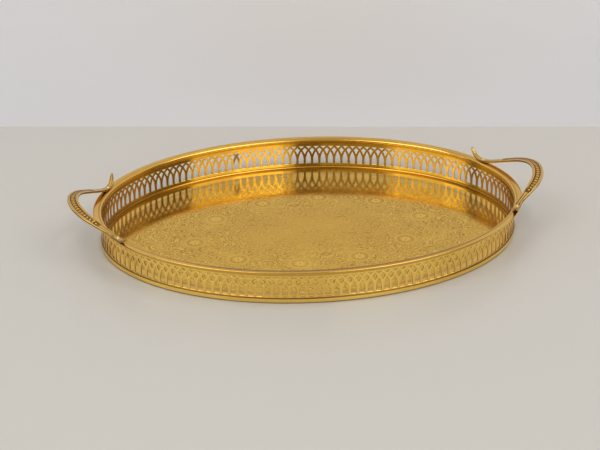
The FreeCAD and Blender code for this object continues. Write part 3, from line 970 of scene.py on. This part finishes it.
for mark in [-tip] + stations + [tip]:
    share = min(max(abs(mark) - foot, 0) / (tip - foot), 1)
    width, thick, x = strap_width(mark), STRAP_THICK - 0.8 * share, along(mark)
    if share > 0.95:
        width *= 0.55 if share == 1 else 0.85
        thick *= 0.6 if share == 1 else 0.9
    pick(strap, lambda place: abs(place.x - x) < 0.05)
    bpy.ops.transform.resize(value=(1, width / STRAP_WIDE, thick / STRAP_THICK),
                             center_override=(x * MM, 0, 0))
    if abs(mark) <= band_end:
        shrink = width / STRAP_WIDE
        band = max(width / 2 - BORDER, 1.25 * shrink + 0.2) / (BAND_HALF * shrink)
        band *= {band_end: 0.72, band_closing: 0.9}.get(abs(mark), 1)
        pick(strap, lambda place: abs(place.x - x) < 0.05 and place.z > 0.9
             and 2.0 < abs(place.y) / shrink < 2.9)
        bpy.ops.transform.resize(value=(1, band, 1), center_override=(x * MM, 0, 0))
print("strap width at the grip, foot and tip, mm:",
      [round(strap_width(mark), 2) for mark in (0, foot, tip)])

# %% Ridge of the leaf tips
ends = (along(-foot - 1), along(foot + 1))
pick(strap, lambda place: not ends[0] < place.x < ends[1] and abs(place.y) < 0.01
     and place.z > 0 and 0.5 < place.x < strap_long - 0.5)
ridge = 0.45
bpy.ops.transform.translate(value=(0, 0, ridge * MM))
print("ridge on the leaf tips, mm:", ridge)

# %% Sunk band and grooves
def beside(mark):
    """How far along the line, from the nearer end, that mark is."""
    return along(-abs(mark))


def from_end(place):
    """How far that point is from the nearer end."""
    return min(place.x, strap_long - place.x)


pick_faces(strap, lambda place, normal: normal.z > 0.9 and place.z > 0.9
           and from_end(place) > beside(band_end) and abs(place.y) < BAND_HALF)
bpy.ops.mesh.inset(thickness=0.3 * MM, depth=-0.5 * MM)
pick_faces(strap, lambda place, normal: normal.z > 0.9 and place.z > 0.9
           and beside(groove_end) < from_end(place) < beside(groove_start)
           and 0.6 < abs(place.y) < 1.6)
bpy.ops.mesh.inset(thickness=0.18 * MM, depth=-0.4 * MM)
bpy.ops.object.mode_set(mode="OBJECT")
soften(strap, 0.16, 2, 35)
print("strap with its band, faces:", len(strap.data.polygons))

# %% A row of half beads in the band
beads = 25
bead_long, bead_wide, bead_high = 1.45, 1.95, 0.62
bead_level, bead_cut = 0.42, 0.40
first_bead = middle - BEAD_PITCH * (beads - 1) / 2

bpy.ops.object.select_all(action="DESELECT")
bpy.ops.mesh.primitive_uv_sphere_add(
    segments=12, ring_count=6, radius=1, location=(first_bead * MM, 0, bead_level * MM),
    scale=(bead_long * MM, bead_wide * MM, bead_high * MM))
bead = bpy.context.object
bead.name = "bead"
bpy.ops.object.transform_apply(location=True, rotation=True, scale=True)
bpy.ops.object.mode_set(mode="EDIT")
bpy.ops.mesh.select_all(action="SELECT")
bpy.ops.mesh.bisect(plane_co=(0, 0, bead_cut * MM), plane_no=(0, 0, 1), clear_inner=True)
bpy.ops.object.mode_set(mode="OBJECT")
repeat(bead, beads, BEAD_PITCH)
bpy.ops.object.modifier_apply(modifier="row")
print("row of beads, faces:", len(bead.data.polygons))

# %% Each bead as wide as the band is there
bpy.ops.object.mode_set(mode="EDIT")
for step in range(beads):
    x = middle + BEAD_PITCH * (step - (beads - 1) / 2)
    room = strap_width(x - middle) / 2 - BORDER
    pick(bead, lambda place: abs(place.x - x) < BEAD_PITCH / 2)
    bpy.ops.transform.resize(value=(1, room / BAND_HALF, 1), center_override=(x * MM, 0, 0))
bpy.ops.object.mode_set(mode="OBJECT")
strap.select_set(True)
bpy.context.view_layer.objects.active = strap
bpy.ops.object.join()
print("strap with its beads, faces:", len(strap.data.polygons))

# %% Numbers on the mesh: how deep, how far out and how far along each spot lies
# Undersides get a fixed darkness as painted shade.
underside, sunk_from, sunk_depth = 0.2, 0.92, 0.3
underside_shade, below_across = 0.5, 4.5

patina_and_shade_marks, across_marks, along_marks = new_marks(strap, "POINT", "patina_and_shade", "across", "along")
for spot, vertex in enumerate(strap.data.vertices):
    mark = abs(vertex.co.x / MM - middle)
    share = min(max((mark - (along(foot) - middle)) / (along(tip) - along(foot)), 0), 1)
    level = vertex.co.z / MM / (1 - 0.4 * share)
    upper = level > underside
    out = abs(vertex.co.y / MM) * STRAP_WIDE / strap_width(mark)
    depth = min(max((sunk_from - level) / sunk_depth, 0), 1)
    along_marks[spot].value = mark
    across_marks[spot].value = out if upper else below_across
    patina_and_shade_marks[spot].value = depth if upper else underside_shade
print("marked spots:", len(strap.data.vertices))

# %% Bend the right handle, and turn a copy for the left
bend_along(strap, strap_line)
bpy.ops.object.duplicate()
other = bpy.context.object
other.name = "strap_left"
bpy.ops.object.mode_set(mode="EDIT")
bpy.ops.mesh.select_all(action="SELECT")
bpy.ops.transform.resize(value=(-1, -1, 1), center_override=(0, 0, 0))
bpy.ops.object.mode_set(mode="OBJECT")
for piece, node in ((strap, "handle_right"), (other, "handle_left")):
    ends = [[round(pick_end(vertex.co[axis] for vertex in piece.data.vertices) / MM, 2)
             for axis in range(3)] for pick_end in (min, max)]
    packed = [[round(value / MM, 2) for value in corner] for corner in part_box(node)]
    print(piece.name, "drawn:", ends, "packed:", packed)
    finish_piece(piece, strap_gold, "gilt_handle", node)

# %% [markdown]
# ## Rivets
# One rivet holds each handle's foot to the moulding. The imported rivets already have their
# heads and shanks in the right shape, so they stay and only get their finish. The other
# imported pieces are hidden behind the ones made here.

# %% Rivets
rivets = [node for name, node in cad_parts.items() if name.startswith("rivet")]
for node in rivets:
    node.data.materials.clear()
    node.data.materials.append(rivet_gold)
print("rivets:", len(rivets))
